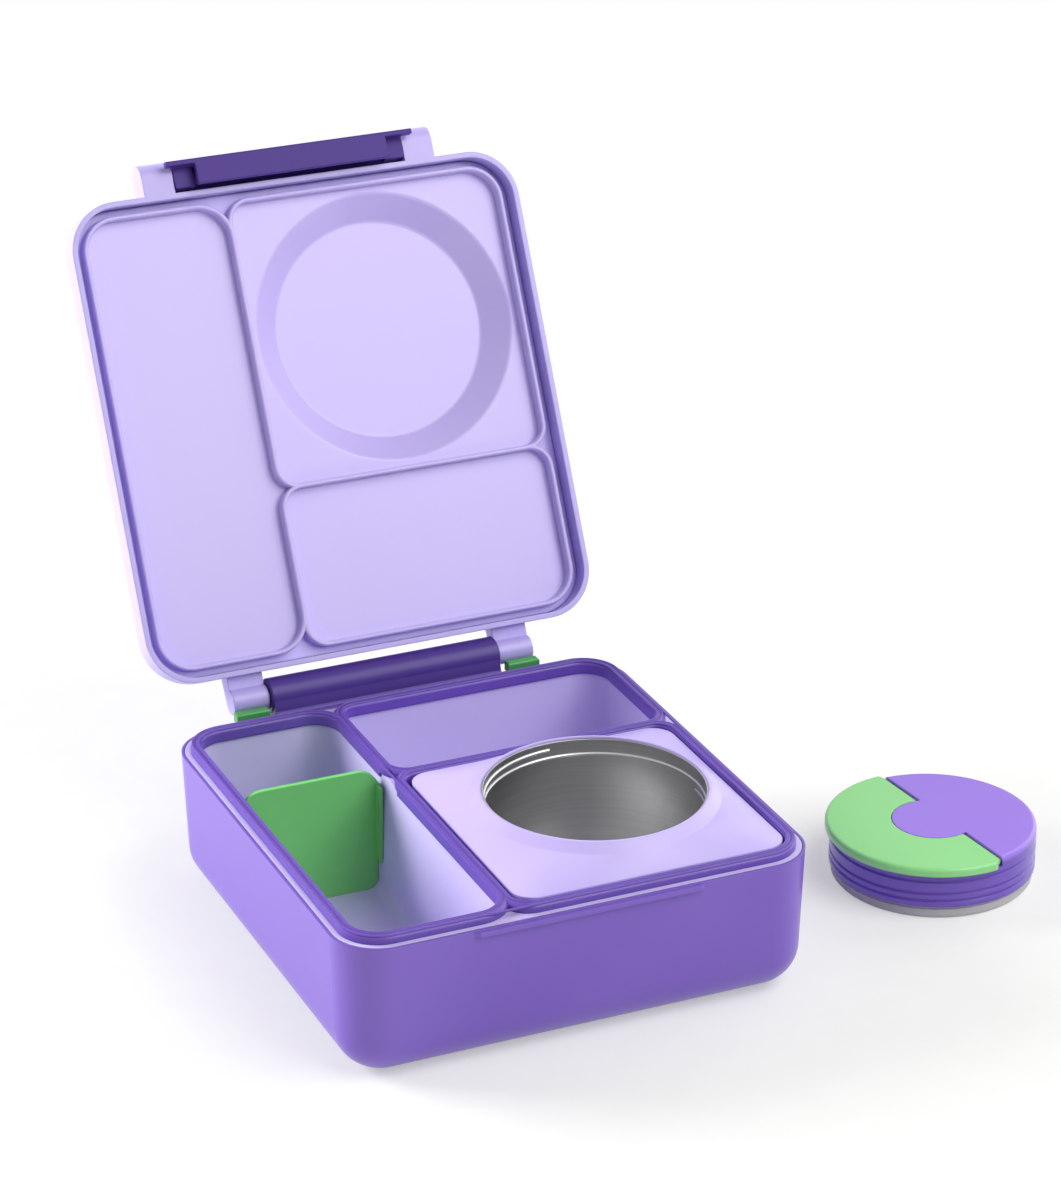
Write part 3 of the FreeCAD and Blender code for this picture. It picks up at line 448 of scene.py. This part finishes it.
# ------------------------------------------------------------ materials of the lid
def make_latch_plastic():
    return make_plastic("latch_plastic", LATCH_PURPLE, 0.33, 0.0007, marks=0.1, shine=0.15)


def make_cover_plastic():
    return make_plastic("lid_plastic", COVER_LILAC, 0.36, 0.0009, coat=0.1, glow=0.12)


def make_panel_plastic():
    return make_plastic("panel_plastic", PANEL_LILAC, 0.31, 0.0012, grain=FINE_GRAIN, coat=0.3, glow=0.08)


# ------------------------------------------------------------ materials of the jar and its cap
def make_collar_plastic():
    return make_plastic("collar_plastic", COLLAR_LILAC, 0.33, 0.0010)


def make_cap_plastic():
    """The cap's plastic, with painted shade darkening its threaded side below its polished top."""
    made = make_plastic("cap_plastic", CAP_PURPLE, 0.22, 0.0009, marks=0.0, coat=0.25, shine=0.35)
    tree = made.node_tree
    surface = next(node for node in tree.nodes if node.type == "BSDF_PRINCIPLED")
    point = next(node for node in tree.nodes if node.type == "TEX_COORD").outputs["Object"]
    tone = surface.inputs["Base Color"].links[0].from_socket
    height = add(tree, "ShaderNodeSeparateXYZ", {0: point}).outputs["Z"]
    # painted shade: the side's colour is multiplied darker, fading out just under the top
    shade_fade_to_top = ramp(tree, height, CAP_TOP - CAP_SIDE_FROM, CAP_TOP - CAP_SIDE_TO)
    painted_side_shade = blend(tree, 1.0, tone, colour(CAP_SIDE_PAINTED_SHADE), mode="MULTIPLY")
    tree.links.new(blend(tree, shade_fade_to_top, painted_side_shade, tone), surface.inputs["Base Color"])
    return made


def make_core_plastic():
    return make_plastic("core_plastic", CORE_LILAC, 0.34, 0.0005)


def make_handle_plastic():
    return make_plastic("handle_plastic", HANDLE_GREEN, 0.22, 0.0009, marks=0.0, coat=0.2)


def make_gasket_silicone():
    """Grey silicone that lets a little light through."""
    fresh, worn = [colour(code) for code in GASKET_GREY]
    made, tree, surface, point = new_material("gasket_silicone")
    moulded = add(tree, "ShaderNodeGroup", node_tree=MOULDED)
    tree.links.new(point, moulded.inputs["Point"])
    mottle = moulded.outputs["Mottle"]
    tree.links.new(blend(tree, ramp(tree, mottle, *NOISE_BAND), fresh, worn), surface.inputs["Base Color"])
    tree.links.new(ramp(tree, mottle, *NOISE_BAND, *GASKET_ROUGHNESS), surface.inputs["Roughness"])
    normal = soft_edges(tree, moulded.outputs["Grain"], GRAIN_DEPTH, GASKET_EDGE)
    tree.links.new(normal, surface.inputs["Normal"])
    surface.inputs["Subsurface Weight"].default_value = GASKET_GLOW
    surface.inputs["Subsurface Scale"].default_value = GASKET_GLOW_REACH
    return made


def make_jar_steel():
    return make_steel("jar_steel", STEEL, 0.34, JAR_CENTRE, 9000.0)


def make_bowl_steel():
    return make_steel("bowl_steel", STEEL, 0.32, JAR_CENTRE, 7000.0)


def make_pin_steel():
    return make_steel("pin_steel", PIN_STEEL, 0.34, HINGE, 3000.0)


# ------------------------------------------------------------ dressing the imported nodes
def dress(names, material):
    for name in names:
        mesh = nodes[name].data
        mesh.materials.clear()
        mesh.materials.append(material)


def dress_plastic_nodes():
    dress(["outer_shell"], make_shell_plastic())
    dress(["hinge_barrel"], make_bar_plastic())
    dress(["latch"], make_latch_plastic())
    dress(["inner_liner"], make_liner_plastic())
    dress(["lid_cover"], make_cover_plastic())
    dress(["lid_inner_panel"], make_panel_plastic())
    dress(["jar_collar"], make_collar_plastic())
    dress(["cap_body"], make_cap_plastic())
    dress(["cap_core"], make_core_plastic())
    dress(["cap_handle"], make_handle_plastic())
    dress(["divider"], make_divider_plastic())
    dress(["release_button_left", "release_button_right"], make_button_plastic())


def dress_rubber_nodes(seal_silicone):
    dress(["seal_gasket"], seal_silicone)
    dress(["cap_gasket"], make_gasket_silicone())


def dress_steel_nodes(bowl_steel):
    dress(["jar_outer_wall", "jar_base"], make_jar_steel())
    dress(["jar_inner_wall"], bowl_steel)
    dress([name for name in nodes if "pin" in name.split("_") or "spring" in name], make_pin_steel())


# ------------------------------------------------------------ paths of the seal
def well_loops():
    """Each well's opening as left, right, front, back and its four corner radii, from the front left."""
    x0, x1 = seal_low.x + BEAD_WIDTH, seal_high.x - BEAD_WIDTH
    y0, y1 = seal_low.y + BEAD_WIDTH, seal_high.y - BEAD_WIDTH
    split_x = x1 - JAR_WELL_SIDE
    split_y = y0 + JAR_WELL_SIDE
    big, small = WELL_CORNER, INNER_CORNER
    return {
        "long": (x0, split_x - BEAD_WIDTH, y0, y1, (big, big, big, big)),
        "jar": (split_x, x1, y0, split_y, (small, big, small, small)),
        "small": (split_x, x1, split_y + BEAD_WIDTH, y1, (small, small, big, small)),
        "all": (x0, x1, y0, y1, (big, big, big, big)),
    }


def loop_points(loop, out_by, height, steps=12):
    """Points round a rounded oblong that is grown by out_by."""
    left, right, front, back, corners = loop
    spots = ((left, front, 1, 1, 180), (right, front, -1, 1, 270),
             (right, back, -1, -1, 0), (left, back, 1, -1, 90))
    points = []
    for (x, y, across, along, start), corner in zip(spots, corners):
        reach = corner + out_by
        for step in range(steps + 1):
            turn = math.radians(start + 90 * step / steps)
            points.append((x + across * corner + reach * math.cos(turn),
                           y + along * corner + reach * math.sin(turn), height))
    return points


# ------------------------------------------------------------ pieces grown by Geometry Nodes
def new_tree(name, inputs):
    """An empty Geometry Nodes tree with named inputs."""
    tree = bpy.data.node_groups.new(name, "GeometryNodeTree")
    tree.interface.new_socket("Geometry", in_out="INPUT", socket_type="NodeSocketGeometry")
    for label, kind in inputs:
        tree.interface.new_socket(label, in_out="INPUT", socket_type=kind)
    tree.interface.new_socket("Geometry", in_out="OUTPUT", socket_type="NodeSocketGeometry")
    return tree, tree.nodes.new("NodeGroupInput"), tree.nodes.new("NodeGroupOutput")


def finish_tree(tree, given, out, geometry):
    """Smooth shading, real geometry and the chosen finish at the end of a tree."""
    smooth = add(tree, "GeometryNodeSetShadeSmooth", {"Geometry": geometry})
    real = add(tree, "GeometryNodeRealizeInstances", {"Geometry": smooth.outputs[0]})
    painted = add(tree, "GeometryNodeSetMaterial",
                  {"Geometry": real.outputs[0], "Material": given.outputs["Finish"]})
    tree.links.new(painted.outputs[0], out.inputs["Geometry"])


def make_crest_tree():
    """A round cord along every edge loop of the mesh."""
    tree, given, out = new_tree("seal_crest_cord", [
        ("Cord Radius", "NodeSocketFloat"),
        ("Cord Sides", "NodeSocketInt"),
        ("Finish", "NodeSocketMaterial"),
    ])
    path = add(tree, "GeometryNodeMeshToCurve", {"Mesh": given.outputs["Geometry"]})
    profile = add(tree, "GeometryNodeCurvePrimitiveCircle",
                  {"Resolution": given.outputs["Cord Sides"], "Radius": given.outputs["Cord Radius"]},
                  mode="RADIUS")
    cord = add(tree, "GeometryNodeCurveToMesh",
               {"Curve": path.outputs[0], "Profile Curve": profile.outputs[0]})
    finish_tree(tree, given, out, cord.outputs[0])
    return tree


def make_thread_tree():
    """A round rib wound up the inside of a mouth."""
    tree, given, out = new_tree("mouth_thread_rib", [
        ("Turns", "NodeSocketFloat"),
        ("Mouth Radius", "NodeSocketFloat"),
        ("Climb", "NodeSocketFloat"),
        ("Rib Radius", "NodeSocketFloat"),
        ("Place", "NodeSocketVector"),
        ("Finish", "NodeSocketMaterial"),
    ])
    helix = add(tree, "GeometryNodeCurveSpiral", {
        "Resolution": THREAD_STEPS, "Rotations": given.outputs["Turns"],
        "Start Radius": given.outputs["Mouth Radius"], "End Radius": given.outputs["Mouth Radius"],
        "Height": given.outputs["Climb"], "Reverse": False,
    })
    profile = add(tree, "GeometryNodeCurvePrimitiveCircle",
                  {"Resolution": THREAD_SIDES, "Radius": given.outputs["Rib Radius"]}, mode="RADIUS")
    rib = add(tree, "GeometryNodeCurveToMesh",
              {"Curve": helix.outputs[0], "Profile Curve": profile.outputs[0], "Fill Caps": True})
    placed = add(tree, "GeometryNodeTransform",
                 {"Geometry": rib.outputs[0], "Translation": given.outputs["Place"]})
    finish_tree(tree, given, out, placed.outputs[0])
    return tree


def grow_piece(name, mesh, tree, sizes, body):
    """Run a tree on a mesh, keep the result as a plain mesh and let it ride its body."""
    holder = bpy.data.objects.new(name + "_path", mesh)
    bpy.context.scene.collection.objects.link(holder)
    grown = holder.modifiers.new("grow", "NODES")
    grown.node_group = tree
    for item in tree.interface.items_tree:
        if item.item_type == "SOCKET" and item.in_out == "INPUT" and item.name in sizes:
            grown[item.identifier] = sizes[item.name]
    evaluated = holder.evaluated_get(bpy.context.evaluated_depsgraph_get())
    plain = bpy.data.meshes.new_from_object(evaluated)
    plain.name = name
    holder.modifiers.clear()
    bpy.data.objects.remove(holder)
    piece = bpy.data.objects.new(name, plain)
    bpy.context.scene.collection.objects.link(piece)
    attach(piece, body)


def make_seal_crests(silicone):
    """Fine crests along both edges of the seal's bead, with the lid's rib closing between them."""
    loops = well_loops()
    runs = [(loops[name], CREST_INSET) for name in ("long", "jar", "small")]
    runs.append((loops["all"], BEAD_WIDTH - CREST_INSET))
    points = []
    edges = []
    for loop, out_by in runs:
        ring = loop_points(loop, out_by, seal_high.z - CREST_SINK)
        first = len(points)
        points += ring
        edges += [(first + i, first + (i + 1) % len(ring)) for i in range(len(ring))]
    mesh = bpy.data.meshes.new("seal_crest_lines")
    mesh.from_pydata(points, edges, [])
    sizes = {"Cord Radius": CREST_RADIUS, "Cord Sides": CREST_SIDES, "Finish": silicone}
    grow_piece("seal_crests", mesh, make_crest_tree(), sizes, "base")


def make_mouth_thread(steel):
    """The jar's inside thread that the cap screws into."""
    mesh = bpy.data.meshes.new("mouth_thread_seed")
    mesh.from_pydata([(0, 0, 0)], [], [])
    climb = THREAD_TURNS * THREAD_PITCH
    wall = (jar_high.x - jar_low.x) / 2
    sizes = {
        "Turns": THREAD_TURNS, "Mouth Radius": wall - THREAD_RADIUS, "Climb": climb,
        "Rib Radius": THREAD_RADIUS, "Finish": steel,
        "Place": (JAR_CENTRE.x, JAR_CENTRE.y, jar_high.z - THREAD_BELOW_MOUTH - climb),
    }
    grow_piece("mouth_thread", mesh, make_thread_tree(), sizes, "jar")


# ------------------------------------------------------------ floor, light, camera
def make_floor_card():
    """Pale card that fades to plain white away from the box, as seen by the camera."""
    made = bpy.data.materials.new("floor_card")
    made.use_nodes = True
    tree = made.node_tree
    tree.nodes.clear()
    out = tree.nodes.new("ShaderNodeOutputMaterial")
    point = tree.nodes.new("ShaderNodeTexCoord").outputs["Object"]
    paper = add(tree, "ShaderNodeTexNoise", {"Vector": point, "Scale": PAPER_SCALE, "Detail": 3.0})
    pale = blend(tree, ramp(tree, paper.outputs["Fac"], *NOISE_BAND), *FLOOR_TONES)
    matt = add(tree, "ShaderNodeBsdfDiffuse", {"Color": pale})
    glow = add(tree, "ShaderNodeEmission", {"Color": (1, 1, 1, 1), "Strength": 1.0})
    reach = vectors(tree, "LENGTH", vectors(tree, "SUBTRACT", point, FADE_CENTRE))
    away = ramp(tree, reach, *FADE_BAND, *FADE_SHARES)
    path = tree.nodes.new("ShaderNodeLightPath")
    seen = maths(tree, "MAXIMUM", path.outputs["Is Camera Ray"], path.outputs["Is Glossy Ray"])
    seen = maths(tree, "MAXIMUM", seen, path.outputs["Is Transmission Ray"])
    mixed = add(tree, "ShaderNodeMixShader", {0: maths(tree, "MULTIPLY", away, seen)})
    tree.links.new(matt.outputs[0], mixed.inputs[1])
    tree.links.new(glow.outputs[0], mixed.inputs[2])
    tree.links.new(mixed.outputs[0], out.inputs["Surface"])
    return made


def make_floor():
    """Wide floor just under the box, which catches its shadow."""
    mesh = bpy.data.meshes.new("studio_floor")
    half = FLOOR_HALF_SIDE
    mesh.from_pydata([(-half, -half, 0), (half, -half, 0), (half, half, 0), (-half, half, 0)],
                     [], [(0, 1, 2, 3)])
    mesh.materials.append(make_floor_card())
    floor = bpy.data.objects.new("studio_floor", mesh)
    bpy.context.scene.collection.objects.link(floor)
    floor.location.z = cad_box[0].z - FLOOR_BELOW


def make_world():
    """White surround: full to the camera, weaker in mirrors and weaker still as light."""
    world = bpy.data.worlds.new("studio_world")
    bpy.context.scene.world = world
    world.use_nodes = True
    tree = world.node_tree
    tree.nodes.clear()
    out = tree.nodes.new("ShaderNodeOutputWorld")
    path = tree.nodes.new("ShaderNodeLightPath")
    mirrored = maths(tree, "MULTIPLY", path.outputs["Is Glossy Ray"], SKY_IN_MIRRORS)
    seen = maths(tree, "MAXIMUM", path.outputs["Is Camera Ray"], mirrored)
    seen = maths(tree, "MAXIMUM", seen, path.outputs["Is Transmission Ray"])
    strength = add(tree, "ShaderNodeMapRange", {"Value": seen, "To Min": SKY_LIGHT, "To Max": 1.0})
    sky = add(tree, "ShaderNodeBackground", {"Color": (1, 1, 1, 1), "Strength": strength.outputs[0]})
    tree.links.new(sky.outputs[0], out.inputs["Surface"])


def soft_lamp(name, place, size, power, mirrored=True):
    """Square lamp aimed at the box; one that isn't mirrored leaves no image in glossy surfaces."""
    lamp = bpy.data.lights.new(name, "AREA")
    lamp.shape = "SQUARE"
    lamp.size = size
    lamp.energy = power
    made = bpy.data.objects.new(name, lamp)
    bpy.context.scene.collection.objects.link(made)
    made.visible_glossy = mirrored
    made.location = place
    made.rotation_mode = "QUATERNION"
    made.rotation_quaternion = (Vector(LAMP_AIM) - Vector(place)).to_track_quat("-Z", "Y")


def make_lights():
    soft_lamp("left_softbox", (-1.3, 1.05, 0.72), size=0.9, power=43.0, mirrored=False)
    soft_lamp("overhead_softbox", (0.75, -0.9, 1.4), size=1.4, power=23.0)
    soft_lamp("right_softbox", (1.7, 0.55, 0.85), size=1.6, power=13.0)


def make_camera():
    """Long-lens view from the front left, above."""
    level = math.cos(CAMERA_RISE)
    forward = Vector((-math.sin(CAMERA_TURN) * level, math.cos(CAMERA_TURN) * level, -math.sin(CAMERA_RISE)))
    right = Vector((math.cos(CAMERA_TURN), math.sin(CAMERA_TURN), 0))
    up = right.cross(forward)
    side = right * math.cos(CAMERA_ROLL) + up * math.sin(CAMERA_ROLL)
    top = up * math.cos(CAMERA_ROLL) - right * math.sin(CAMERA_ROLL)
    place = CAMERA_AIM - side * CAMERA_RIGHT_SHIFT + top * CAMERA_DOWN_SHIFT - forward * CAMERA_DISTANCE
    lens = bpy.data.cameras.new("table_view")
    lens.sensor_width = CAMERA_SENSOR
    lens.lens = CAMERA_LENS
    lens.clip_start = 0.1
    lens.clip_end = 30.0
    camera = bpy.data.objects.new("table_view", lens)
    bpy.context.scene.collection.objects.link(camera)
    camera.matrix_world = Matrix((
        (side.x, top.x, -forward.x, place.x),
        (side.y, top.y, -forward.y, place.y),
        (side.z, top.z, -forward.z, place.z),
        (0, 0, 0, 1),
    ))
    bpy.context.scene.camera = camera


make_camera()
dress_plastic_nodes()
seal_silicone = make_seal_silicone()
dress_rubber_nodes(seal_silicone)
bowl_steel = make_bowl_steel()
dress_steel_nodes(bowl_steel)
make_seal_crests(seal_silicone)
make_mouth_thread(bowl_steel)
make_floor()
make_world()
make_lights()
bpy.context.scene.view_settings.view_transform = "Standard"
